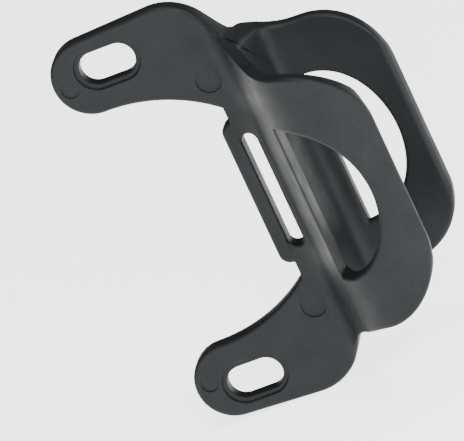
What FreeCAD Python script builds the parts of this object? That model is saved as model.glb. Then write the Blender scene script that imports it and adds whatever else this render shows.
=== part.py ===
"""Side bracket for a bicycle bottle cage: two bolt ears, a strap slot and a spring clip.

Frame, in millimetres: the origin is midway between the two bolt slots, on the front face
of the ears. +Z runs along the frame tube, +X runs from the ears to the clip, and the
clip's front jaw stands towards -Y. The bracket is the same above and below the plane Z = 0.
"""
import FreeCAD, Part
import math
import os
from FreeCAD import Vector

doc = FreeCAD.newDocument("bottle_cage_side_bracket")

# ---------------------------------------------------------------- driving dimensions
sheet = doc.addObject("Spreadsheet::Sheet", "Sizes")
SIZES = [
    ("bolt_spacing", 64, "between the two bolt slots, the standard bottle cage spacing"),
    ("slot_width", 6, "bolt slot, across"),
    ("slot_length", 10.4, "bolt slot, end to end"),
    ("seat_margin", 0.9, "recessed seat round each bolt slot, beyond the slot"),
    ("seat_depth", 0.5, "depth of that seat"),
    ("plate", 3.5, "thickness of the ears and the strap flange"),
    ("ear_reach", 10.8, "from the bolt slot's centre to the ear's free end"),
    ("ear_outer", 6.1, "from the bolt slot's centre to the ear's outer edge"),
    ("ear_taper", 3, "lean of that outer edge, in degrees"),
    ("ear_inner", 8.1, "from the bolt slot's centre to the ear's inner edge"),
    ("ear_corner", 6.9, "corner radius of the ear's free end"),
    ("bay_radius", 30, "round inner edge of each ear"),
    ("shoulder_radius", 10, "outer corner of each ear beside the clip"),
    ("fold_reach", 15.57, "from the bolt slots' line to where the plate starts to fold"),
    ("fold_radius", 6, "hollow bend from the plate into the clip's flank"),
    ("flank_angle", 65, "turn of that bend"),
    ("wall", 2.8, "thickness of the clip's wall"),
    ("strap_slot_width", 3, "slot for the strap"),
    ("strap_slot_length", 22.6, "slot for the strap, end to end"),
    ("strap_slot_place", 17.7, "from the bolt slots' line to the strap slot's middle"),
    ("tab_reach", 13.45, "from the bolt slots' line to the strap flange's free edge"),
    ("tab_corner", 2, "corner radius of the strap flange"),
    ("notch_radius", 1.5, "round notch between the flange and each ear"),
    ("notch_reach", 16.4, "from the bolt slots' line to the bottom of that notch"),
    ("notch_height", 15.6, "height of that notch above the middle"),
    ("crest_depth", 20.5, "from the plate's front face to the front jaw's crest"),
    ("crest_radius", 12, "outer radius of the front jaw"),
    ("crest_turn", 40.6, "how far the front jaw wraps past its crest"),
    ("nose_radius", 5, "outer radius of the clip's closed side"),
    ("nose_turn", 36, "turn of the closed side"),
    ("back_height", 11.7, "from the plate's front face to the rear jaw's top"),
    ("corner_radius", 5.5, "outer radius where the rear flank turns into the rear jaw"),
    ("leg_radius", 42, "outer radius of the long rear jaw"),
    ("leg_lean", 11, "slope at which the rear jaw leaves that corner, in degrees"),
    ("leg_turn", 25.8, "turn of the rear jaw"),
    ("root_height", 30.5, "half height of the clip where it leaves the ears"),
    ("root_place", 21.27, "from the bolt slots' line to that place"),
    ("root_slope", 56, "slope of the edge there, in degrees"),
    ("hollow_radius", 12.6, "hollow edge between the ears and the jaws"),
    ("jaw_lean", 3, "lean of the jaws' end edges, in degrees"),
    ("front_jaw_corner", 14.1, "corner radius of the front jaw's free edge"),
    ("rear_jaw_corner", 13, "corner radius of the rear jaw's free edge"),
    ("joint_gap_front", 3.5, "from the closed side to the line that the front jaw flexes on"),
    ("joint_share_rear", 0.63, "share of the straight behind the plate before the rear jaw flexes"),
    ("split_height", 17.2, "half height of the spine, where the ears begin"),
    ("front_window_place", 26.3, "straight edge of the front window"),
    ("front_window_depth", 12.5, "from that edge to the window's round side"),
    ("front_window_half", 14.9, "half height of the front window"),
    ("rear_window_place", 28.8, "straight edge of the rear window"),
    ("rear_window_depth", 11.8, "from that edge to the window's round side"),
    ("rear_window_half", 14.9, "half height of the rear window"),
    ("web_fillet", 1.5, "fillet behind the plate, against the rear flank"),
    ("pin_mark_radius", 2.35, "ejector mark on the fold"),
    ("pin_mark_place", 15.5, "from the bolt slots' line to those marks"),
    ("pin_mark_height", 22.8, "height of those marks above the middle"),
    ("end_mark_radius", 1.65, "ejector mark at each ear's free end"),
    ("end_mark_place", -7.9, "place of those marks"),
    ("end_mark_height", 30, "height of those marks above the middle"),
    ("mark_depth", 0.25, "depth of the ejector marks"),
]
for row, (alias, size, meaning) in enumerate(SIZES, start=1):
    sheet.set(f"A{row}", meaning)
    sheet.set(f"B{row}", str(size))
    sheet.setAlias(f"B{row}", alias)
doc.recompute()


def size(alias):
    """A driving dimension, read back from the sheet."""
    return float(sheet.get(alias))


# ------------------------------------------------------------------------ outlines
def sine(degrees):
    return math.sin(math.radians(degrees))


def cosine(degrees):
    return math.cos(math.radians(degrees))


def unit(heading):
    """Unit vector at a heading in degrees, counted anticlockwise from the first axis."""
    return Vector(cosine(heading), sine(heading), 0)


def trace(start, heading, moves, offset=0.0):
    """Edges of a tangent path, as a pen would draw it, shifted to its right by offset.

    A move is ("line", length) or ("arc", radius, turn) with turn in degrees, positive to
    the left. Shifting to the right widens left-hand arcs and tightens right-hand ones.
    """
    place = start + unit(heading - 90) * offset
    edges = []
    for move in moves:
        if move[0] == "line":
            end = place + unit(heading) * move[1]
            edges.append(Part.makeLine(place, end))
        else:
            side = 1 if move[2] > 0 else -1
            radius = move[1] + side * offset
            centre = place + unit(heading + 90 * side) * radius
            middle = centre + unit(heading + move[2] / 2 - 90 * side) * radius
            end = centre + unit(heading + move[2] - 90 * side) * radius
            edges.append(Part.Arc(place, middle, end).toShape())
            heading += move[2]
        place = end
    return edges, place, heading


def close(*chains):
    """A flat face bounded by chains of edges, with straight lines over the gaps."""
    edges = []
    for chain in chains:
        edges.extend(chain)
    loop = [edges[0]]
    last = edges[0].Vertexes[-1].Point
    for edge in edges[1:] + [edges[0]]:
        near = min((v.Point for v in edge.Vertexes), key=last.distanceToPoint)
        if near.distanceToPoint(last) > 1e-6:
            loop.append(Part.makeLine(last, near))
        if edge is not edges[0]:
            loop.append(edge)
        last = max((v.Point for v in edge.Vertexes), key=near.distanceToPoint)
    return Part.Face(Part.Wire(Part.__sortEdges__(loop)))


def polygon(*points):
    """Straight edges through points given as pairs."""
    corners = [Vector(a, b, 0) for a, b in points]
    return [Part.makeLine(a, b) for a, b in zip(corners, corners[1:])]


def stadium(a, b, wide, high):
    """A slot's face, centred on (a, b), with full round ends on its short sides."""
    radius = min(wide, high) / 2
    moves = []
    for straight in (wide, high, wide, high):
        if straight > 2 * radius:
            moves.append(("line", straight - 2 * radius))
        moves.append(("arc", radius, 90))
    edges, _, _ = trace(Vector(a - wide / 2 + radius, b - high / 2, 0), 0, moves)
    return Part.Face(Part.Wire(edges))


# ------------------------------------------------------------- the clip's cross-section
EDGE_SPARE = 0.1  # shortest straight left between two round corners, halved
TIP_CLEARANCE = 0.05  # the outline's free edge clears the jaw's own end by this
BEND_OVERLAP = 0.7  # the bend runs this far past the end of the straight flank
SPARE = 4  # how far a profile is drawn past the outline that trims it
wall = size("wall")
turn = size("flank_angle")
flank_heading = 180 - turn
rear_heading = flank_heading - size("nose_turn")

# The front flank runs straight from the fold's bend to the crest's arc, tangent to both.
bend = ("arc", size("fold_radius"), -turn)
fold = Vector(size("fold_reach"), 0, 0)
round_drop = (size("fold_radius") + size("crest_radius")) * (1 - cosine(turn))
straight = (size("crest_depth") - round_drop) / sine(turn)
crest_arc = ("arc", size("crest_radius"), turn)
_, bend_end, _ = trace(fold, 0, [bend])
_, crest, _ = trace(bend_end, -turn, [("line", straight), crest_arc])
_, flank_start, _ = trace(bend_end, -turn, [("line", straight)])
flank_length = straight - BEND_OVERLAP

# The rear flank's length brings the rear jaw's top to its height.
nose_moves = [("arc", size("nose_radius"), -size("nose_turn"))]
_, nose_start, _ = trace(flank_start, flank_heading, [("line", flank_length)])
_, nose_end, _ = trace(nose_start, flank_heading, nose_moves)
corner_turn = rear_heading - size("leg_lean")
rise = size("corner_radius") * (cosine(size("leg_lean")) - cosine(rear_heading))
rise += size("leg_radius") * (1 - cosine(size("leg_lean")))
rear_flank = (size("back_height") - rise - nose_end.y) / sine(rear_heading)

# The web's fillet and the joint share the straight between the plate and the corner.
plate = size("plate")
web_ratio = math.tan(math.radians(rear_heading / 2))
to_plate = (plate - nose_end.y) / sine(rear_heading)
room = rear_flank - to_plate
web_tangent = min(size("web_fillet") * web_ratio, room / 2)
joint_gap_rear = to_plate + size("joint_share_rear") * room
front_cut = nose_start - unit(flank_heading) * size("joint_gap_front")
rear_cut = nose_end + unit(rear_heading) * joint_gap_rear


def walled(start, heading, moves):
    """Face of a wall whose outer side is the path and whose thickness lies to its right."""
    outer, _, _ = trace(start, heading, moves)
    inner, _, _ = trace(start, heading, moves, wall)
    return close(outer, inner[::-1])


front_moves = [
    ("arc", size("crest_radius"), -size("crest_turn")),
    ("arc", size("crest_radius"), -turn),
    ("line", flank_length - size("joint_gap_front")),
]
_, front_tip, _ = trace(crest, 0, [("arc", size("crest_radius"), size("crest_turn"))])
front_section = walled(front_tip, 180 + size("crest_turn"), front_moves)

rear_moves = [
    ("line", rear_flank - joint_gap_rear),
    ("arc", size("corner_radius"), -corner_turn),
    ("arc", size("leg_radius"), -size("leg_turn")),
]
rear_section = walled(rear_cut, rear_heading, rear_moves)
_, rear_tip, _ = trace(rear_cut, rear_heading, rear_moves)

# The base: plate, hollow bend, closed side of the clip, and a fillet behind the plate.
far_left = -size("ear_reach") - SPARE
base_inner, _, _ = trace(
    front_cut,
    flank_heading,
    [("line", size("joint_gap_front")), nose_moves[0], ("line", joint_gap_rear)],
    wall,
)
web_start = nose_end + unit(rear_heading) * (to_plate + web_tangent)
web_move = ("arc", web_tangent / web_ratio, -rear_heading)
web_edges, _, _ = trace(web_start, rear_heading + 180, [web_move])
base_section = close(
    polygon((far_left, plate), (far_left, 0), (fold.x, 0)),
    trace(fold, 0, [bend])[0],
    polygon((bend_end.x, bend_end.y), (front_cut.x, front_cut.y)),
    base_inner,
    polygon((rear_cut.x, rear_cut.y), (web_start.x, web_start.y)),
    web_edges,
)


# ------------------------------------------------------------ the outline from the front
def clip_edge(tip, corner_radius):
    """Upper half of the clip's outline, from where it leaves the ear to its free edge."""
    root = Vector(size("root_place"), size("root_height"), 0)
    slope = size("root_slope")
    lean = size("jaw_lean")
    hollow = ("arc", size("hollow_radius"), slope - lean)
    _, bare_end, _ = trace(root, -slope, [hollow])
    widest = (tip.x + TIP_CLEARANCE - bare_end.x) / (1 - sine(lean)) - EDGE_SPARE
    corner = ("arc", min(corner_radius, widest), lean - 90)
    _, bare_end, _ = trace(root, -slope, [hollow, corner])
    straight = (tip.x + TIP_CLEARANCE - bare_end.x) / cosine(lean)
    _, end, _ = trace(root, -slope, [hollow, ("line", straight), corner])
    edges, _, _ = trace(root, -slope, [hollow, ("line", straight), corner, ("line", end.y)])
    return edges


def ear_edge():
    """Upper half of the rest: round the ear, through the notch, to the flange's middle."""
    root = Vector(size("root_place"), size("root_height"), 0)
    slope = size("root_slope")
    taper = size("ear_taper")
    top = Vector(0, size("bolt_spacing") / 2 + size("ear_outer"), 0)
    bottom = size("bolt_spacing") / 2 - size("ear_inner")
    corner = min(size("ear_corner"), (top.y - bottom) / 2 - EDGE_SPARE)

    # The shoulder: up the slope, then round onto the leaning outer edge.
    shoulder = ("arc", size("shoulder_radius"), slope + taper)
    _, bare, _ = trace(root, 180 - slope, [shoulder])
    outward = unit(90 + taper)
    climb = (top - bare).dot(outward) / unit(180 - slope).dot(outward)
    _, turned, _ = trace(root, 180 - slope, [("line", climb), shoulder])

    # The free end: two round corners and a short straight between them.
    first = ("arc", corner, 90 - taper)
    corner_start = -size("ear_reach") + corner * (1 - sine(taper))
    along = (turned.x - corner_start) / cosine(taper)
    _, side, _ = trace(turned, 180 + taper, [("line", along), first])
    down = side.y - corner - bottom

    # The bay's round edge touches the notch's circle from outside it, and the notch's
    # circle touches the flange's corner.
    notch = Vector(size("notch_reach") - size("notch_radius"), size("notch_height"), 0)
    span = size("bay_radius") - size("notch_radius")
    fall = bottom - size("bay_radius")
    bay_centre_x = notch.x - math.sqrt(span**2 - (notch.y - fall) ** 2)
    bay_turn = 90 - math.degrees(math.atan2(notch.y - fall, notch.x - bay_centre_x))
    inner_edge = bay_centre_x - (-size("ear_reach") + corner)
    tab_centre_x = size("tab_reach") + size("tab_corner")
    link = size("notch_radius") + size("tab_corner")
    drop = math.sqrt(link**2 - (tab_centre_x - notch.x) ** 2)
    touch = math.degrees(math.atan2(-drop, tab_centre_x - notch.x))
    moves = [
        ("line", climb),
        shoulder,
        ("line", along),
        first,
        ("line", down),
        ("arc", corner, 90),
        ("line", inner_edge),
        ("arc", size("bay_radius"), -bay_turn),
        ("arc", size("notch_radius"), touch - 90 + bay_turn),
        ("arc", size("tab_corner"), -touch),
        ("line", notch.y - drop),
    ]
    edges, _, _ = trace(root, 180 - slope, moves)
    return edges


def outline(tip, corner_radius):
    """Face of the whole front outline, for the jaw that ends at tip."""
    half = clip_edge(tip, corner_radius) + ear_edge()
    mirrored = [edge.mirror(Vector(), Vector(0, 1, 0)) for edge in half]
    return Part.Face(Part.Wire(Part.__sortEdges__(half + mirrored)))


def window(place, depth, half_height):
    """A D-shaped face: a straight edge along the tube and half an ellipse beyond it."""
    ends = [Vector(place, half_height, 0), Vector(place, -half_height, 0)]
    centre = Vector(place, 0, 0)
    if depth < half_height:
        curve = Part.Ellipse(ends[0], centre + Vector(depth, 0, 0), centre)
    else:
        curve = Part.Ellipse(centre + Vector(depth, 0, 0), ends[0], centre)
    start, stop = sorted(curve.parameter(end) for end in ends)
    spans = ((start, stop), (stop, start + 2 * math.pi))
    arcs = [Part.ArcOfEllipse(curve, *span) for span in spans]
    round_side = max((arc.toShape() for arc in arcs), key=lambda edge: edge.BoundBox.XMax)
    return Part.Face(Part.Wire(Part.__sortEdges__([Part.makeLine(*ends), round_side])))


# ---------------------------------------------------------------------- solids
def profile(name, face, upright=False):
    """A flat face as an object: in the plane Z = 0, or stood up in the plane Y = 0."""
    item = doc.addObject("Part::Feature", name)
    if upright:
        face = face.rotated(Vector(), Vector(1, 0, 0), 90)
    item.Shape = face
    return item


def extrusion(name, base, direction, forward, reverse="0"):
    """A profile pushed along a direction, by expressions of the sheet's sizes."""
    item = doc.addObject("Part::Extrusion", name)
    item.Base = base
    item.DirMode = "Custom"
    item.Dir = direction
    item.Solid = True
    item.setExpression("LengthFwd", forward)
    item.setExpression("LengthRev", reverse)
    return item


def common(name, *parts):
    item = doc.addObject("Part::MultiCommon", name)
    item.Shapes = list(parts)
    return item


def cut(name, base, *tools):
    """The base with the tools taken away."""
    tool = tools[0]
    if len(tools) > 1:
        tool = doc.addObject("Part::MultiFuse", name + "_tools")
        tool.Shapes = list(tools)
    item = doc.addObject("Part::Cut", name)
    item.Base = base
    item.Tool = tool
    return item


ALONG = Vector(0, 0, 1)
ACROSS = Vector(0, 1, 0)
HALF = "Sizes.bolt_spacing / 2 + Sizes.ear_outer + Sizes.plate"
DEEP = "Sizes.crest_depth + Sizes.back_height"


def trimmed(name, section, tip, corner_radius):
    """A section run along the tube and trimmed by the front outline."""
    run = extrusion(name + "_run", profile(name + "_section", section), ALONG, HALF, HALF)
    face = profile(name + "_outline", outline(tip, corner_radius), upright=True)
    return common(name + "_blank", run, extrusion(name + "_trim", face, ACROSS, DEEP, DEEP))


def hole(name, face, forward=DEEP):
    """A cutter: a face in the front view, pushed through the bracket."""
    return extrusion(name, profile(name + "_face", face, upright=True), ACROSS, forward, DEEP)


def mark(kind, side, sign):
    """A cutter for one ejector mark: a shallow disc on the front face."""
    item = doc.addObject("Part::Cylinder", f"{side}_{kind}")
    item.setExpression("Radius", f"Sizes.{kind}_radius")
    item.setExpression("Height", "Sizes.crest_depth + Sizes.mark_depth")
    item.Placement = FreeCAD.Placement(Vector(), FreeCAD.Rotation(Vector(1, 0, 0), 90))
    item.setExpression("Placement.Base.x", f"Sizes.{kind}_place")
    item.setExpression("Placement.Base.y", "Sizes.mark_depth")
    item.setExpression("Placement.Base.z", f"{sign} * Sizes.{kind}_height")
    return item


def slab(name, low, high):
    """A block that takes one stretch of the base along the tube."""
    item = doc.addObject("Part::Box", name)
    item.setExpression("Length", f"4 * ({DEEP})")
    item.setExpression("Width", f"4 * ({DEEP})")
    item.setExpression("Height", f"{high} - ({low})")
    item.setExpression("Placement.Base.x", f"-2 * ({DEEP})")
    item.setExpression("Placement.Base.y", f"-2 * ({DEEP})")
    item.setExpression("Placement.Base.z", low)
    return item


# The base carries two bolt slots in recessed seats, the strap slot and the ejector marks.
strap_slot = stadium(
    size("strap_slot_place"), 0, size("strap_slot_width"), size("strap_slot_length")
)
cutters = [hole("strap_slot", strap_slot)]
margin = 2 * size("seat_margin")
for side, sign in (("upper", 1), ("lower", -1)):
    height = sign * size("bolt_spacing") / 2
    bolt_slot = stadium(0, height, size("slot_length"), size("slot_width"))
    seat = stadium(0, height, size("slot_length") + margin, size("slot_width") + margin)
    cutters.append(hole(side + "_bolt_slot", bolt_slot))
    cutters.append(hole(side + "_seat", seat, "Sizes.seat_depth"))
    cutters.append(mark("pin_mark", side, sign))
    cutters.append(mark("end_mark", side, sign))
blank = trimmed("base", base_section, front_tip, size("front_jaw_corner"))
base = cut("base", blank, *cutters)

SPLIT = "Sizes.split_height"
nodes = {
    "upper_ear": common("upper_ear", base, slab("upper_part", SPLIT, HALF)),
    "spine": common("spine", base, slab("middle_part", f"-{SPLIT}", SPLIT)),
    "lower_ear": common("lower_ear", base, slab("lower_part", f"-({HALF})", f"-{SPLIT}")),
}
for jaw, section, tip in (("front", front_section, front_tip), ("rear", rear_section, rear_tip)):
    place, depth, half = (size(f"{jaw}_window_{part}") for part in ("place", "depth", "half"))
    blank = trimmed(jaw + "_jaw", section, tip, size(f"{jaw}_jaw_corner"))
    shape = window(place, depth, half)
    nodes[jaw + "_jaw"] = cut(jaw + "_jaw", blank, hole(jaw + "_window", shape))

doc.recompute()
for item in doc.Objects:
    if "Invalid" in item.State or "Error" in item.State:
        raise RuntimeError(f"{item.Label} did not build: {item.State}")

os.makedirs("parts", exist_ok=True)
for name, item in nodes.items():
    item.Label = name
    if item.Shape.isNull() or not item.Shape.isValid() or len(item.Shape.Solids) != 1:
        raise RuntimeError(f"{name} is not one valid solid")
    item.Shape.exportStep(f"parts/{name}.step")
    box = item.Shape.BoundBox
    spans = (box.XMin, box.XMax, box.YMin, box.YMax, box.ZMin, box.ZMax)
    print(name, round(item.Shape.Volume), [round(bound, 2) for bound in spans])
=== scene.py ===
"""Looks of the bottle cage side bracket: its moulded skins, its plastic and its studio.

Every skin is one closed sheet. Seen from the front, a skin fills the ring between its
outline and its hole. Its front and rear surfaces are the curves of the bracket's section,
so a place (x, z) in the front view lies at y = front(x) or y = rear(x).
"""
import math

import bmesh
import bpy
import numpy as np
from mathutils import Matrix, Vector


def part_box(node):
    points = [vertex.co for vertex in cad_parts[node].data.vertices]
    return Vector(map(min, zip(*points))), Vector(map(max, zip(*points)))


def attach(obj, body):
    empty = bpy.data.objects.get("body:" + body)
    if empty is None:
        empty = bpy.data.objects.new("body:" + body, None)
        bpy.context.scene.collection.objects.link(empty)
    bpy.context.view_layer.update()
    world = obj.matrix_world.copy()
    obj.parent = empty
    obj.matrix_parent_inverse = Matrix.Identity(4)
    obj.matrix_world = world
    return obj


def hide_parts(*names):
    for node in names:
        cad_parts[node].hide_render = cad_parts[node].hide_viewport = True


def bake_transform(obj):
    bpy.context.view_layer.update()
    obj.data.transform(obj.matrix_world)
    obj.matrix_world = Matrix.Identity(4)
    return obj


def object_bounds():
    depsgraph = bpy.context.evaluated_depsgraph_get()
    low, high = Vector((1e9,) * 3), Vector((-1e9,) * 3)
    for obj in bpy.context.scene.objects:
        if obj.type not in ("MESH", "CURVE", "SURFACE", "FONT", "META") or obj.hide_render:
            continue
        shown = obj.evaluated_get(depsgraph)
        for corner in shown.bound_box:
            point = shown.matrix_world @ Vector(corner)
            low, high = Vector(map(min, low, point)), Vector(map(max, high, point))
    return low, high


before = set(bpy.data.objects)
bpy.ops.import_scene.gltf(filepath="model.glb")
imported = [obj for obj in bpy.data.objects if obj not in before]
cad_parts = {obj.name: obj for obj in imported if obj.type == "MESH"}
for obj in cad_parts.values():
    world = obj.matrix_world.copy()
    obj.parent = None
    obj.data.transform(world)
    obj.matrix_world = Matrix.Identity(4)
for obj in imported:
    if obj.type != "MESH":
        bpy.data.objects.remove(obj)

bl_info = {
    "name": "Bottle cage side bracket",
    "version": (1, 0, 0),
    "blender": (4, 5, 0),
    "location": "View3D > Sidebar > Bracket",
    "description": "Builds the moulded bracket, its plastic and a plain studio",
    "category": "Object",
}

CAD_BOX = [list(corner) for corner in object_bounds()]
MM = 0.001
JAW_LOW, JAW_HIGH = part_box("front_jaw")
REAR_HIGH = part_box("rear_jaw")[1]
EAR_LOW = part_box("upper_ear")[0]
SPINE_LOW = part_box("spine")[0]

# How finely a skin is made.
QUARTER = np.radians(np.linspace(0, 90, 6))  # angles down a rounded rim
PITCH = 0.25 * MM  # spacing of points along a path
FINE_PITCH = 0.1 * MM  # the same round a slot
LEAST_STEP = 1e-9  # metres that a curve moves on in x from point to point
SLOPE_STEP = 0.1 * MM  # half the step over which a curve's slope is taken
MOST_STRETCH = 4  # cap on length per step in x where a curve stands upright
RIM_SHARE = 0.35  # most of the wall that one rim's radius takes
LIP_SHARE = 0.7  # a seat's lip beside its floor edge
SLOT_RIM_SHARE = 0.7  # the strap slot's rim beside the other rims
EDGE_GAP = 0.1 * MM  # straight kept beside a corner, and depth kept at a seat's wall
MERGE = 0.002 * MM
SHORTEST_EDGE = 0.0005 * MM
SHARP_ANGLE = math.radians(38)
TIP_INSET = 0.02 * MM  # outlines stop this far inside a free edge
REAR_SEAM_INSET = 0.12 * MM  # the rear skin starts this far inside the closed side
PLUG_LENGTH = 10 * MM

# Noise scales of the plastic, in cycles per metre.
CLOUD_SCALE = 110
FIBRE_SCALE = 2600
SHEEN_SCALE = 240
SINK_SCALE = 95
GRAIN_SCALE = 3200

# Each lamp: name, place from the bracket's middle in metres, width in metres, power in watts.
LAMPS = (
    ("key", (0.22, -0.60, 0.30), 0.34, 6.0),
    ("side", (0.60, -0.25, 0.10), 0.25, 1.5),
    ("top", (0.12, -0.05, 0.62), 0.30, 3.0),
)
FLOOR_HALF = 6.0  # half the floor's side in metres
FLOOR_GLOW = 2.6
SKY_GLOW = 0.12
VIEW_AZIMUTH, VIEW_RISE, VIEW_ROLL = (math.radians(turn) for turn in (15.62, 18, -25.19))
VIEW_TARGET = np.array([8.55, 0, -2.83]) * MM
VIEW_DISTANCE = 1.5
VIEW_LENS = 663.6


# ---------------------------------------------------------------- settings
def length(value, text):
    """A size property, kept in metres and given here in millimetres."""
    return bpy.props.FloatProperty(
        name=text,
        description=f"{text} of the bracket",
        default=value * MM,
        subtype="DISTANCE",
        unit="LENGTH",
    )


def angle(value, text):
    """An angle property, kept in radians and given here in degrees."""
    return bpy.props.FloatProperty(
        name=text,
        description=f"{text} of the bracket",
        default=math.radians(value),
        subtype="ANGLE",
        unit="ROTATION",
    )


class BRACKET_PG_plate(bpy.types.PropertyGroup):
    """Sizes of the ears and the strap flange."""

    bolt_spacing: length(64, "Bolt slot spacing")
    slot_width: length(6, "Bolt slot width")
    slot_length: length(10.4, "Bolt slot length")
    seat_margin: length(0.9, "Slot seat margin")
    seat_depth: length(0.5, "Slot seat depth")
    thickness: length(3.5, "Plate thickness")
    ear_reach: length(-EAR_LOW.x / MM, "Ear reach")
    ear_outer: length(6.1, "Ear outer edge")
    ear_inner: length(8.1, "Ear inner edge")
    ear_taper: angle(3, "Ear taper")
    ear_corner: length(6.9, "Ear corner radius")
    bay_radius: length(30, "Bay radius")
    shoulder_radius: length(10, "Shoulder radius")
    strap_width: length(3, "Strap slot width")
    strap_length: length(22.6, "Strap slot length")
    strap_place: length(17.7, "Strap slot place")
    tab_reach: length(SPINE_LOW.x / MM, "Flange edge place")
    tab_corner: length(2, "Flange corner radius")
    notch_radius: length(1.5, "Notch radius")
    notch_reach: length(16.4, "Notch reach")
    notch_height: length(15.6, "Notch height")
    split_height: length(EAR_LOW.z / MM, "Ear split height")
    pin_radius: length(2.35, "Fold mark radius")
    pin_place: length(15.5, "Fold mark place")
    pin_height: length(22.8, "Fold mark height")
    end_radius: length(1.65, "End mark radius")
    end_place: length(-7.9, "End mark place")
    end_height: length(30, "End mark height")
    mark_depth: length(0.25, "Mark depth")


class BRACKET_PG_clip(bpy.types.PropertyGroup):
    """Sizes of the spring clip and of its section."""

    wall: length(2.8, "Wall thickness")
    fold_reach: length(15.57, "Fold place")
    fold_radius: length(6, "Fold radius")
    flank_angle: angle(65, "Front flank angle")
    crest_depth: length(-JAW_LOW.y / MM, "Crest depth")
    crest_radius: length(12, "Crest radius")
    crest_turn: angle(40.6, "Front jaw wrap")
    bend_overlap: length(0.7, "Bend overlap")
    nose_radius: length(5, "Closed side radius")
    nose_turn: angle(36, "Closed side turn")
    corner_radius: length(5.5, "Rear corner radius")
    leg_radius: length(42, "Rear jaw radius")
    leg_lean: angle(11, "Rear jaw lean")
    leg_turn: angle(25.8, "Rear jaw turn")
    back_height: length(REAR_HIGH.y / MM, "Rear jaw height")
    web_fillet: length(1.5, "Web fillet radius")
    root_place: length(21.27, "Clip root place")
    root_height: length(30.5, "Clip root height")
    root_slope: angle(56, "Clip root slope")
    hollow_radius: length(12.6, "Hollow radius")
    jaw_lean: angle(3, "Jaw edge lean")
    front_corner: length(14.1, "Front jaw corner radius")
    rear_corner: length(13, "Rear jaw corner radius")
    front_window: bpy.props.FloatVectorProperty(
        name="Front window",
        description="Straight edge's place, depth and half height of the front window",
        default=(26.3 * MM, 12.5 * MM, 14.9 * MM),
        unit="LENGTH",
    )
    rear_window: bpy.props.FloatVectorProperty(
        name="Rear window",
        description="Straight edge's place, depth and half height of the rear window",
        default=(28.8 * MM, 11.8 * MM, 14.9 * MM),
        unit="LENGTH",
    )
    rim: length(0.6, "Rim radius")
    tip_rim: length(0.9, "Free edge radius")
    seam_place: length(21.3, "Skin seam place")


class BRACKET_PG_finish(bpy.types.PropertyGroup):
    """Colour and surface of the moulded plastic."""

    colour: bpy.props.FloatVectorProperty(
        name="Plastic colour",
        description="Base colour of the moulded plastic",
        subtype="COLOR",
        min=0,
        max=1,
        default=(0.0065, 0.0083, 0.0091),
    )
    fibre_colour: bpy.props.FloatVectorProperty(
        name="Fibre colour",
        description="Colour of the fine fibres at the plastic's surface",
        subtype="COLOR",
        min=0,
        max=1,
        default=(0.020, 0.024, 0.026),
    )
    roughness: bpy.props.FloatProperty(
        name="Roughness", description="Mean roughness of the plastic", default=0.50, min=0, max=1
    )


# ---------------------------------------------------------------- curves in a plane
def heading(turned):
    """Unit vectors at angles in radians: (cos, sin)."""
    return np.stack([np.cos(turned), np.sin(turned)], -1)


def travel(start, way, moves, pitch=PITCH):
    """Points of a tangent path: a straight is start + t * way, an arc is centre + radius * way.

    A move is ("line", length) or ("arc", radius, turn), with a left-hand turn positive.
    """
    place = np.array(start, float)
    runs = [place[None]]
    for move in moves:
        if move[0] == "line":
            count = max(1, math.ceil(abs(move[1]) / pitch))
            run = place + np.linspace(0, move[1], count + 1)[1:, None] * heading(way)
        else:
            _, radius, turn = move
            quarter = math.copysign(math.pi / 2, turn)
            count = max(4, math.ceil(abs(turn) * max(radius, 2 * MM) / pitch))
            centre = place + radius * heading(way + quarter)
            run = centre + radius * heading(way - quarter + np.linspace(0, turn, count + 1)[1:])
            way += turn
        runs.append(run)
        place = run[-1]
    return np.concatenate(runs), way


def lengths(points):
    """Distance along a polyline at each of its points."""
    steps = np.linalg.norm(np.diff(points, axis=0), axis=1)
    return np.concatenate([[0], np.cumsum(steps)])


def spaced(points, count):
    """count points at equal steps along a polyline, both ends kept."""
    along = lengths(points)
    wanted = np.linspace(0, along[-1], count)
    return np.stack([np.interp(wanted, along, points[:, k]) for k in (0, 1)], -1)


def right_normals(points):
    """Unit normals to the right of a polyline's tangent: (dz, -dx) over its length."""
    tangent = np.gradient(points, axis=0)
    normal = np.stack([tangent[:, 1], -tangent[:, 0]], -1)
    return normal / np.linalg.norm(normal, axis=1, keepdims=True)


def mirrored(points):
    """The same polyline below z = 0, with its order turned round."""
    return points[::-1] * (1, -1)


class Surface:
    """A curve y(x) of the section, with its own length s(x) to space points evenly."""

    def __init__(self, points):
        keep = np.concatenate([[True], np.diff(points[:, 0]) > LEAST_STEP])
        self.x, self.y = points[keep].T
        self.s = lengths(points[keep])

    def depth(self, x):
        """y at a place x."""
        return np.interp(x, self.x, self.y)

    def along(self, x):
        """Length s at a place x."""
        return np.interp(x, self.x, self.s)

    def place(self, s):
        """Place x at a length s."""
        return np.interp(s, self.s, self.x)

    def stretch(self, x):
        """Length of the curve for each step in x, capped where it stands upright."""
        rise = (self.depth(x + SLOPE_STEP) - self.depth(x - SLOPE_STEP)) / (2 * SLOPE_STEP)
        return np.minimum(np.sqrt(1 + rise**2), MOST_STRETCH)


# ---------------------------------------------------------------- the bracket's section
def tip_moves(wall, rim, side):
    """The rounded free edge of a jaw: a quarter turn, a straight and a quarter turn."""
    quarter = side * math.pi / 2
    return [("arc", rim, quarter), ("line", wall - 2 * rim), ("arc", rim, quarter)]


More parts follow.
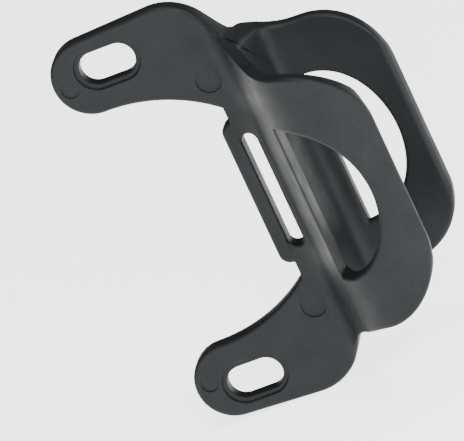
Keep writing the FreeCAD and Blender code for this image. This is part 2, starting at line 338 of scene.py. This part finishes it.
def front_surfaces(plate, clip):
    """Front and rear curves of the ears, the fold and the front jaw, split at the tip."""
    turn = clip.flank_angle
    drop = (clip.fold_radius + clip.crest_radius) * (1 - math.cos(turn))
    straight = (clip.crest_depth - drop) / math.sin(turn)
    wrap = turn + clip.crest_turn - clip.tip_rim / clip.crest_radius
    inner = clip.crest_radius - clip.wall
    loop, _ = travel(
        (-plate.ear_reach, 0),
        0,
        [
            ("line", clip.fold_reach + plate.ear_reach),
            ("arc", clip.fold_radius, -turn),
            ("line", straight),
            ("arc", clip.crest_radius, wrap),
            *tip_moves(clip.wall, clip.tip_rim, 1),
            ("arc", inner, -wrap),
            ("line", straight - clip.bend_overlap),
            ("arc", clip.nose_radius - clip.wall, turn - math.pi / 2),
        ],
    )
    split = int(loop[:, 0].argmax())

    # The rear curve hides inside the rear flank, then follows the web's fillet and the plate.
    slope = math.pi - turn - clip.nose_turn
    _, end = closed_side(clip)
    flank = heading(slope)
    inward = heading(slope - math.pi / 2)
    tangent = clip.web_fillet * math.tan(slope / 2)
    web = end + flank * ((plate.thickness - end[1]) / math.sin(slope) + tangent)
    shares = np.array([(0.25, 0.75), (0.84, 0.35), (0.96, 0.1)])
    reach = np.linalg.norm(web - end)
    hidden = end + shares[:, :1] * reach * flank + shares[:, 1:] * clip.wall * inward
    fillet, _ = travel(web, slope + math.pi, [("arc", clip.web_fillet, -slope)])
    plate_end = np.array([[-plate.ear_reach, plate.thickness]])
    rear = np.concatenate([loop[split:], hidden, fillet, plate_end])
    return Surface(loop[: split + 1]), Surface(rear[::-1])


def closed_side(clip):
    """Start and end of the clip's closed side on its outer face."""
    turn = clip.flank_angle
    path, _ = travel(
        (clip.fold_reach, 0), 0, [("arc", clip.fold_radius, -turn), ("line", clip.bend_overlap)]
    )
    start = path[-1]
    path, _ = travel(start, math.pi - turn, [("arc", clip.nose_radius, -clip.nose_turn)])
    return start, path[-1]


def rear_surfaces(clip):
    """Outer and inner curves of the closed side, the rear flank and the rear jaw."""
    slope = math.pi - clip.flank_angle - clip.nose_turn
    start, end = closed_side(clip)
    centre = start + clip.nose_radius * heading(math.pi / 2 - clip.flank_angle)
    bend = math.pi / 2 - slope
    rise = clip.corner_radius * (math.cos(clip.leg_lean) - math.cos(slope))
    rise += clip.leg_radius * (1 - math.cos(clip.leg_lean))
    flank = (clip.back_height - rise - end[1]) / math.sin(slope)
    corner = slope - clip.leg_lean
    leg = clip.leg_turn - clip.tip_rim / clip.leg_radius
    loop, _ = travel(
        centre - (clip.nose_radius, 0),
        math.pi / 2,
        [
            ("arc", clip.nose_radius, -bend),
            ("line", flank),
            ("arc", clip.corner_radius, -corner),
            ("arc", clip.leg_radius, -leg),
            *tip_moves(clip.wall, clip.tip_rim, -1),
            ("arc", clip.leg_radius - clip.wall, leg),
            ("arc", clip.corner_radius - clip.wall, corner),
            ("line", flank),
            ("arc", clip.nose_radius - clip.wall, bend),
        ],
    )
    split = int(loop[:, 0].argmax())
    hidden = (centre - (clip.nose_radius, 0))[None]
    lower = np.concatenate([loop[split:], hidden])
    return Surface(loop[: split + 1]), Surface(lower[::-1])


# ---------------------------------------------------------------- outlines in the front view
def clip_outline(clip, free_edge, corner_radius):
    """Upper outline of a jaw, from its root beside the ear to the middle of its free edge."""
    root = (clip.root_place, clip.root_height)
    hollow = ("arc", clip.hollow_radius, clip.root_slope - clip.jaw_lean)
    bare, _ = travel(root, -clip.root_slope, [hollow])
    widest = (free_edge - bare[-1, 0]) / (1 - math.sin(clip.jaw_lean)) - EDGE_GAP
    corner = ("arc", min(corner_radius, widest), clip.jaw_lean - math.pi / 2)
    bare, _ = travel(root, -clip.root_slope, [hollow, corner])
    straight = (free_edge - bare[-1, 0]) / math.cos(clip.jaw_lean)
    path, way = travel(root, -clip.root_slope, [hollow, ("line", straight), corner])
    down, _ = travel(path[-1], way, [("line", path[-1, 1])])
    return np.concatenate([path, down[1:]])


def ear_outline(plate, clip):
    """Upper outline of the plate, from the clip's root round the ear to the flange's middle."""
    slope, taper = clip.root_slope, plate.ear_taper
    root = np.array([clip.root_place, clip.root_height])
    top = np.array([0, plate.bolt_spacing / 2 + plate.ear_outer])
    bottom = plate.bolt_spacing / 2 - plate.ear_inner
    corner = plate.ear_corner
    shoulder = ("arc", plate.shoulder_radius, slope + taper)
    bare, _ = travel(root, math.pi - slope, [shoulder])
    outward = heading(math.pi / 2 + taper)
    climb = (top - bare[-1]) @ outward / (heading(math.pi - slope) @ outward)
    turned, _ = travel(root, math.pi - slope, [("line", climb), shoulder])
    corner_start = -plate.ear_reach + corner * (1 - math.sin(taper))
    along = (turned[-1, 0] - corner_start) / math.cos(taper)
    first = ("arc", corner, math.pi / 2 - taper)
    side, _ = travel(turned[-1], math.pi + taper, [("line", along), first])

    notch = np.array([plate.notch_reach - plate.notch_radius, plate.notch_height])
    span = plate.bay_radius - plate.notch_radius
    lift = notch[1] - (bottom - plate.bay_radius)
    bay_x = notch[0] - math.sqrt(span**2 - lift**2)
    bay_turn = math.pi / 2 - math.atan2(lift, notch[0] - bay_x)
    tab_x = plate.tab_reach + plate.tab_corner
    drop = math.sqrt((plate.notch_radius + plate.tab_corner) ** 2 - (tab_x - notch[0]) ** 2)
    touch = math.atan2(-drop, tab_x - notch[0])
    path, _ = travel(
        root,
        math.pi - slope,
        [
            ("line", climb),
            shoulder,
            ("line", along),
            first,
            ("line", side[-1, 1] - corner - bottom),
            ("arc", corner, math.pi / 2),
            ("line", bay_x - (-plate.ear_reach + corner)),
            ("arc", plate.bay_radius, -bay_turn),
            ("arc", plate.notch_radius, touch - math.pi / 2 + bay_turn),
            ("arc", plate.tab_corner, -touch),
            ("line", notch[1] - drop),
        ],
    )
    return path


def stadium(centre, wide, high):
    """Four runs of a slot's edge, anticlockwise from its lower right: side, cap, side, cap."""
    radius = min(wide, high) / 2
    if high > wide:
        start = (centre[0] + radius, centre[1] - high / 2 + radius)
        way, straight = math.pi / 2, high - wide
    else:
        start = (centre[0] - wide / 2 + radius, centre[1] - radius)
        way, straight = 0, wide - high
    runs = []
    for move in (("line", straight), ("arc", radius, math.pi)) * 2:
        run, way = travel(start, way, [move], FINE_PITCH)
        start = run[-1]
        runs.append(run)
    return runs


def window(place, depth, half_height):
    """A D-shaped hole: its straight edge, and half an ellipse beyond it, anticlockwise."""
    round_way = np.linspace(-math.pi / 2, math.pi / 2, 400)
    bow = np.stack([place + depth * np.cos(round_way), half_height * np.sin(round_way)], -1)
    edge = np.array([[place, half_height], [place, -half_height]])
    return edge, bow


# ---------------------------------------------------------------- a skin round a hole
def border(runs, counts, radii, surfaces):
    """Columns of an outline: points, outward normals and rim radii, run by run.

    A run with no rim is a seam. It starts and ends where its neighbours' rims meet the face.
    The rim shrinks with the wall where the wall runs out at a free edge.
    """
    front, rear = surfaces
    points, normals, rims = [], [], []
    for run, count, radius in zip(runs, counts, radii):
        place = spaced(run, count)
        stretch = front.stretch(place[:, 0])
        room = RIM_SHARE * (rear.depth(place[:, 0]) - front.depth(place[:, 0])) / stretch
        points.append(place)
        normals.append(right_normals(place))
        rims.append(np.minimum(radius, room) if radius else np.zeros(count))
    for k, radius in enumerate(radii):
        if radius:
            continue
        before, after = k - 1, (k + 1) % len(radii)
        start, end = points[k][0], points[k][-1]
        along = (end - start) / np.linalg.norm(end - start)
        clear_start = start + along * 2 * rims[before][-1]
        clear_end = end - along * 2 * rims[after][0]
        first = start - normals[before][-1] * rims[before][-1]
        last = end - normals[after][0] * rims[after][0]
        between = spaced(np.array([clear_start, clear_end]), counts[k] - 2)
        points[k] = np.concatenate([[first], between, [last]])
    return np.concatenate(points), np.concatenate(normals), np.concatenate(rims)


def skin_mesh(name, surfaces, outer, hole, rim, seat=None, steps=30):
    """A closed sheet between an outline and a hole, as a ring-shaped grid of quads.

    Each column joins a point of the hole to a point of the outline. Down a column the rows
    run over the front face, round the outer rim, back over the rear face and through the
    hole. On a face, place = (1 - w) * hole + w * outline, measured along the section.
    """
    front, rear = surfaces
    edge, out, radius = outer
    mouth, into = hole
    rows = []

    def add(place, surface, sink):
        y = surface.depth(place[:, 0]) + sink
        rows.append(np.stack([place[:, 0], y, place[:, 1]], -1))

    def face(a, b, surface, order):
        sa, sb = surface.along(a[:, 0]), surface.along(b[:, 0])
        for w in order:
            s = (1 - w) * sa + w * sb
            x = surface.place(s)
            rows.append(np.stack([x, surface.depth(x), (1 - w) * a[:, 1] + w * b[:, 1]], -1))

    def rounded(base, normal, r, surface, side, turns):
        """Rim: out by r * sin and down by r * (1 - cos), stretched on a steep face."""
        for t in turns:
            place = base + normal * (r * math.sin(t))[:, None]
            sink = side * r * (1 - math.cos(t)) * surface.stretch(place[:, 0])
            add(place, surface, sink)

    inner = edge - out * radius[:, None]
    margin, depth = seat or (0, 0)
    small = np.full(len(mouth), rim * (0.5 if seat else 1))
    lip = small * LIP_SHARE if seat else small
    shore = mouth + into * (margin + lip[:, None] if seat else small[:, None])
    shade = mouth + into * np.full((len(mouth), 1), rim)
    ramp = np.linspace(0, 1, steps)
    face(shore, inner, front, ramp)
    rounded(inner, out, radius, front, 1, QUARTER[1:])
    rounded(inner, out, radius, rear, -1, QUARTER[:0:-1])
    face(shade, inner, rear, ramp[::-1])
    rounded(shade, -into, np.full(len(mouth), rim), rear, -1, QUARTER[1:])
    if seat:
        floor = mouth + into * small[:, None]
        for t in QUARTER[:0:-1]:
            sink = depth + small * (1 - math.cos(t))
            add(floor - into * (small * math.sin(t))[:, None], front, sink)
        for share in (0, 0.5, 0.9):
            add(floor + into * ((margin - small) * share)[:, None], front, depth)
        add(mouth + into * margin, front, depth - EDGE_GAP)
        for t in QUARTER[:0:-1]:
            add(shore - into * (lip * math.sin(t))[:, None], front, lip * (1 - math.cos(t)))
    else:
        rounded(shore, -into, small, front, 1, QUARTER[:0:-1])

    grid = np.stack(rows)
    count, columns = grid.shape[:2]
    index = np.arange(count * columns).reshape(count, columns)
    below = np.roll(index, -1, 0)
    corners = (index, np.roll(index, -1, 1), np.roll(below, -1, 1), below)
    quads = np.stack(corners, -1).reshape(-1, 4)
    flat = grid.reshape(-1, 3)
    a, b, c, d = (flat[quads[:, k]] for k in range(4))
    volume = (a * np.cross(b, c)).sum() + (a * np.cross(c, d)).sum()
    if volume < 0:
        quads = quads[:, ::-1]
    mesh = bpy.data.meshes.new(name)
    mesh.from_pydata(flat, [], quads)
    work = bmesh.new()
    work.from_mesh(mesh)
    bmesh.ops.remove_doubles(work, verts=work.verts, dist=MERGE)
    bmesh.ops.dissolve_degenerate(work, edges=work.edges, dist=SHORTEST_EDGE)
    work.to_mesh(mesh)
    work.free()
    return mesh


def piece(name, mesh, cutters=()):
    """An object for a mesh, with cutters taken away and its hard edges marked."""
    item = bpy.data.objects.new(name, mesh)
    bpy.context.scene.collection.objects.link(item)
    for cutter in cutters:
        away = item.modifiers.new("mark", "BOOLEAN")
        away.operation = "DIFFERENCE"
        away.solver = "EXACT"
        away.object = cutter
    if cutters:
        graph = bpy.context.evaluated_depsgraph_get()
        item.data = bpy.data.meshes.new_from_object(item.evaluated_get(graph))
        item.modifiers.clear()
        for cutter in cutters:
            bpy.data.objects.remove(cutter)
    item.data.name = name
    item.data.polygons.foreach_set("use_smooth", np.ones(len(item.data.polygons), bool))
    item.data.set_sharp_from_angle(angle=SHARP_ANGLE)
    item.data.materials.clear()
    item.data.materials.append(plastic())
    return item


def disc(name, place, radius, depth):
    """A cutter: a round plug along y whose rear end lies depth behind the plate's face."""
    work = bmesh.new()
    bmesh.ops.create_cone(
        work, cap_ends=True, segments=64, radius1=radius, radius2=radius, depth=PLUG_LENGTH
    )
    mesh = bpy.data.meshes.new(name)
    work.to_mesh(mesh)
    work.free()
    points = np.empty(len(mesh.vertices) * 3)
    mesh.vertices.foreach_get("co", points)
    x, y, z = points.reshape(-1, 3).T
    turned = np.stack([x + place[0], depth - PLUG_LENGTH / 2 - z, y + place[1]], -1)
    mesh.vertices.foreach_set("co", turned.ravel())
    mesh.update()
    item = bpy.data.objects.new(name, mesh)
    bpy.context.scene.collection.objects.link(item)
    return item


# ---------------------------------------------------------------- the plastic
def plastic():
    """Moulded glass-filled nylon: charcoal, satin, faintly mottled, with fine fibres."""
    found = bpy.data.materials.get("moulded_nylon")
    if found:
        return found
    finish = bpy.context.scene.bracket_finish
    material = bpy.data.materials.new("moulded_nylon")
    material.use_nodes = True
    tree = material.node_tree
    nodes, join = tree.nodes, tree.links.new
    shader = nodes["Principled BSDF"]
    place = nodes.new("ShaderNodeTexCoord").outputs["Object"]

    def noise(scale, detail, rough=0.5):
        texture = nodes.new("ShaderNodeTexNoise")
        texture.inputs["Scale"].default_value = scale
        texture.inputs["Detail"].default_value = detail
        texture.inputs["Roughness"].default_value = rough
        join(place, texture.inputs["Vector"])
        return texture.outputs["Fac"]

    def spread(value, low, high, out_low, out_high):
        span = nodes.new("ShaderNodeMapRange")
        for socket, number in zip(span.inputs[1:5], (low, high, out_low, out_high)):
            socket.default_value = number
        join(value, span.inputs["Value"])
        return span.outputs["Result"]

    def mixed(share, a, b):
        blend = nodes.new("ShaderNodeMix")
        blend.data_type = "RGBA"
        join(share, blend.inputs[0])
        for socket, colour in zip(blend.inputs[6:8], (a, b)):
            if hasattr(colour, "is_linked"):
                join(colour, socket)
            else:
                socket.default_value = (*colour, 1)
        return blend.outputs[2]

    base = np.array(finish.colour)
    cloud = mixed(spread(noise(CLOUD_SCALE, 4), 0.35, 0.65, 0, 1), base * 0.86, base * 1.14)
    fibre_share = spread(noise(FIBRE_SCALE, 2), 0.50, 0.80, 0, 0.35)
    join(mixed(fibre_share, cloud, finish.fibre_colour), shader.inputs["Base Color"])
    shader.inputs["Specular IOR Level"].default_value = 0.22
    dull, dullest = finish.roughness - 0.05, finish.roughness + 0.07
    join(spread(noise(SHEEN_SCALE, 3), 0.3, 0.7, dull, dullest), shader.inputs["Roughness"])

    def bump(height, strength, distance, below=None):
        relief = nodes.new("ShaderNodeBump")
        relief.inputs["Strength"].default_value = strength
        relief.inputs["Distance"].default_value = distance
        join(height, relief.inputs["Height"])
        if below:
            join(below, relief.inputs["Normal"])
        return relief.outputs["Normal"]

    sink = bump(noise(SINK_SCALE, 2), 0.35, 0.10 * MM)
    grain = bump(noise(GRAIN_SCALE, 3, 0.6), 0.22, 0.03 * MM, sink)
    join(grain, shader.inputs["Normal"])
    shader.inputs["IOR"].default_value = 1.45
    return material


# ---------------------------------------------------------------- operators
def sizes():
    """The plate's and the clip's settings."""
    return bpy.context.scene.bracket_plate, bpy.context.scene.bracket_clip


def cut_at(points, axis, value, keep_first):
    """A polyline ended where its coordinate on an axis first crosses a value."""
    side = points[:, axis] > value
    k = int(np.flatnonzero(side != side[0])[0])
    a, b = points[k - 1], points[k]
    crossing = a + (b - a) * (value - a[axis]) / (b[axis] - a[axis])
    if keep_first:
        return np.concatenate([points[:k], crossing[None]])
    return np.concatenate([crossing[None], points[k:]])


class BRACKET_OT_ears(bpy.types.Operator):
    """Build the two slotted ears, each round its bolt slot, with its ejector marks."""

    bl_idname = "bracket.ears"
    bl_label = "Ears"

    def execute(self, context):
        plate, clip = sizes()
        surfaces = front_surfaces(plate, clip)
        seam = clip.seam_place
        jaw = clip_outline(clip, JAW_HIGH.x, clip.front_corner)
        root = cut_at(jaw, 0, seam, True)[::-1]
        ear = ear_outline(plate, clip)
        outer_rim = np.concatenate([root, ear[1:]])
        low = int(np.flatnonzero(outer_rim[:, 1] < plate.split_height)[0])
        outer_rim = cut_at(outer_rim[: low + 1], 1, plate.split_height, True)
        corner = np.array([seam, plate.split_height])
        runs = [np.array([corner, outer_rim[0]]), outer_rim, np.array([outer_rim[-1], corner])]
        edge, out, radius = border(runs, (70, 330, 24), (0, clip.rim, 0), surfaces)
        centre = np.array([0, plate.bolt_spacing / 2])
        slot = np.concatenate(stadium(centre, plate.slot_length, plate.slot_width))
        slot = spaced(slot, 2000)
        into = right_normals(slot)
        inner = edge - out * radius[:, None]
        toward = np.unwrap(np.arctan2(*(inner - centre).T[::-1]))
        round_slot = np.unwrap(np.arctan2(*(slot - centre).T[::-1]))
        wanted = (toward - round_slot[0]) % (2 * math.pi) + round_slot[0]
        order = np.argsort(round_slot)
        mouth, normal = (
            np.stack([np.interp(wanted, round_slot[order], v[order, k]) for k in (0, 1)], -1)
            for v in (slot, into)
        )
        normal /= np.linalg.norm(normal, axis=1, keepdims=True)
        for name, side in (("upper", 1), ("lower", -1)):
            flip = np.array([1, side])
            mesh = skin_mesh(
                name + "_ear_skin",
                surfaces,
                (edge * flip, out * flip, radius),
                (mouth * flip, normal * flip),
                clip.rim,
                (plate.seat_margin, plate.seat_depth),
                steps=44,
            )
            pin = (plate.pin_place, side * plate.pin_height)
            end = (plate.end_place, side * plate.end_height)
            marks = [
                disc("pin", pin, plate.pin_radius, plate.mark_depth),
                disc("end", end, plate.end_radius, plate.mark_depth),
            ]
            ear_piece = piece(name + "_ear_skin", mesh, marks)
            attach(ear_piece, "bracket")
            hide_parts(name + "_ear")
        return {"FINISHED"}


class BRACKET_OT_spine(bpy.types.Operator):
    """Build the strap flange and the fold beside it, round the strap slot."""

    bl_idname = "bracket.spine"
    bl_label = "Spine"

    def execute(self, context):
        plate, clip = sizes()
        surfaces = front_surfaces(plate, clip)
        seam, split = clip.seam_place, plate.split_height
        ear = ear_outline(plate, clip)
        low = int(np.flatnonzero(ear[:, 1] < split)[0])
        half = cut_at(ear[low - 1 :], 1, split, False)
        flange = np.concatenate([half, mirrored(half)[1:]])
        top, bottom = np.array([seam, split]), np.array([seam, -split])
        runs = [
            np.array([bottom, top]),
            np.array([top, flange[0]]),
            flange,
            np.array([flange[-1], bottom]),
        ]
        counts = (90, 16, 150, 16)
        outer = border(runs, counts, (0, 0, clip.rim, 0), surfaces)
        slot = stadium((plate.strap_place, 0), plate.strap_width, plate.strap_length)
        mouth = [spaced(run, count) for run, count in zip(slot, counts)]
        into = np.concatenate([right_normals(run) for run in mouth])
        hole = (np.concatenate(mouth), into)
        mesh = skin_mesh(
            "spine_skin", surfaces, outer, hole, clip.rim * SLOT_RIM_SHARE, steps=26
        )
        spine = piece("spine_skin", mesh)
        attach(spine, "bracket")
        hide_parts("spine")
        return {"FINISHED"}


def jaw_skin(name, surfaces, half, left, hole, rim):
    """The skin of a jaw: a seam on its left, a rim all round the rest, and its window."""
    rim_run = np.concatenate([half * (1, -1), half[::-1][1:]])
    runs = [np.array([(left, half[0, 1]), (left, -half[0, 1])]), rim_run]
    counts = (130, 260)
    outer = border(runs, counts, (0, rim), surfaces)
    mouth = [spaced(run, count) for run, count in zip(hole, counts)]
    into = np.concatenate([right_normals(run) for run in mouth])
    return skin_mesh(name, surfaces, outer, (np.concatenate(mouth), into), rim, steps=40)


class BRACKET_OT_jaws(bpy.types.Operator):
    """Build the clip's two jaws, which run out from the closed side."""

    bl_idname = "bracket.jaws"
    bl_label = "Jaws"

    def execute(self, context):
        plate, clip = sizes()
        start, end = closed_side(clip)
        surfaces = front_surfaces(plate, clip)
        left = clip.seam_place
        half = clip_outline(clip, surfaces[0].x[-1] - TIP_INSET, clip.front_corner)
        half = cut_at(half, 0, left, False)
        hole = window(*clip.front_window)
        mesh = jaw_skin("front_jaw_skin", surfaces, half, left, hole, clip.rim)
        jaw = piece("front_jaw_skin", mesh)
        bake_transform(jaw)
        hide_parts("front_jaw")

        outer, inner = rear_surfaces(clip)
        left = outer.x[0] + REAR_SEAM_INSET
        half = clip_outline(clip, outer.x[-1] - TIP_INSET, clip.rear_corner)
        if left < half[0, 0]:
            climb = (half[0, 0] - left) * math.tan(clip.root_slope)
            half = np.concatenate([[(left, half[0, 1] + climb)], half])
        hole = window(*clip.rear_window)
        mesh = jaw_skin("rear_jaw_skin", (inner, outer), half, left, hole, clip.rim)
        jaw = piece("rear_jaw_skin", mesh)
        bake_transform(jaw)
        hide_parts("rear_jaw")
        return {"FINISHED"}


class BRACKET_OT_stage(bpy.types.Operator):
    """Set up the pale floor, the soft lights and the camera."""

    bl_idname = "bracket.stage"
    bl_label = "Studio"

    def execute(self, context):
        scene = context.scene
        low, high = (np.array(corner) for corner in CAD_BOX)
        middle = (low + high) / 2
        steps = np.linspace(-FLOOR_HALF, FLOOR_HALF, 3)
        x, y = np.meshgrid(steps, steps)
        points = np.stack([x.ravel(), y.ravel(), np.full(9, low[2])], -1)
        index = np.arange(9).reshape(3, 3)
        corners = (index[:-1, :-1], index[:-1, 1:], index[1:, 1:], index[1:, :-1])
        quads = np.stack(corners, -1)
        floor_mesh = bpy.data.meshes.new("floor")
        floor_mesh.from_pydata(points, [], quads.reshape(-1, 4))
        floor = bpy.data.objects.new("floor", floor_mesh)
        scene.collection.objects.link(floor)
        paint = bpy.data.materials.new("pale_floor")
        paint.use_nodes = True
        shader = paint.node_tree.nodes["Principled BSDF"]
        shader.inputs["Base Color"].default_value = (0.92, 0.92, 0.92, 1)
        shader.inputs["Roughness"].default_value = 0.9
        shader.inputs["Emission Color"].default_value = (1, 1, 1, 1)
        shader.inputs["Emission Strength"].default_value = FLOOR_GLOW
        floor_mesh.materials.append(paint)

        world = bpy.data.worlds.new("studio")
        world.use_nodes = True
        sky = world.node_tree.nodes["Background"]
        sky.inputs["Color"].default_value = (1, 1, 1, 1)
        sky.inputs["Strength"].default_value = SKY_GLOW
        scene.world = world

        for name, offset, width, power in LAMPS:
            lamp = bpy.data.lights.new(name, "AREA")
            lamp.size = width
            lamp.energy = power
            item = bpy.data.objects.new(name, lamp)
            scene.collection.objects.link(item)
            item.location = middle + np.array(offset)
            aim(item, middle, 0)

        level = math.cos(VIEW_RISE)
        side, ahead = math.sin(VIEW_AZIMUTH) * level, math.cos(VIEW_AZIMUTH) * level
        toward = np.array([side, -ahead, math.sin(VIEW_RISE)])
        camera = bpy.data.cameras.new("camera")
        camera.sensor_width = 36
        camera.lens = VIEW_LENS
        camera.clip_end = 100
        item = bpy.data.objects.new("camera", camera)
        scene.collection.objects.link(item)
        item.location = VIEW_TARGET + toward * VIEW_DISTANCE
        aim(item, VIEW_TARGET, VIEW_ROLL)
        scene.camera = item
        return {"FINISHED"}


def aim(item, target, roll):
    """Turn a lamp or camera so that -Z looks at a target, rolled about that line.

    With d from the target, right = up x d and up = d x right; the roll turns both about d.
    """
    d = np.array(item.location) - target
    d /= np.linalg.norm(d)
    right = np.cross((0, 0, 1), d)
    right /= np.linalg.norm(right)
    up = np.cross(d, right)
    c, s = math.cos(roll), math.sin(roll)
    axes = np.stack([c * right + s * up, -s * right + c * up, d], -1)
    turned = np.eye(4)
    turned[:3, :3] = axes
    turned[:3, 3] = item.location
    item.matrix_world = Matrix(turned.tolist())


class BRACKET_PT_panel(bpy.types.Panel):
    """Lists the bracket's operators and settings."""

    bl_label = "Bottle cage side bracket"
    bl_space_type = "VIEW_3D"
    bl_region_type = "UI"
    bl_category = "Bracket"

    def draw(self, context):
        for operator in OPERATORS:
            self.layout.operator(operator.bl_idname)
        for group in GROUPS:
            settings = getattr(context.scene, GROUPS[group])
            for name in settings.bl_rna.properties.keys():
                if name not in ("rna_type", "name"):
                    self.layout.prop(settings, name)


OPERATORS = (BRACKET_OT_ears, BRACKET_OT_spine, BRACKET_OT_jaws, BRACKET_OT_stage)
GROUPS = {
    BRACKET_PG_plate: "bracket_plate",
    BRACKET_PG_clip: "bracket_clip",
    BRACKET_PG_finish: "bracket_finish",
}
CLASSES = (*GROUPS, *OPERATORS, BRACKET_PT_panel)


def register():
    for item in CLASSES:
        bpy.utils.register_class(item)
    for group, name in GROUPS.items():
        setattr(bpy.types.Scene, name, bpy.props.PointerProperty(type=group))


def unregister():
    for name in GROUPS.values():
        delattr(bpy.types.Scene, name)
    for item in reversed(CLASSES):
        bpy.utils.unregister_class(item)


def main():
    register()
    bpy.ops.bracket.ears()
    bpy.ops.bracket.spine()
    bpy.ops.bracket.jaws()
    bpy.ops.bracket.stage()


if __name__ == "__main__":
    main()
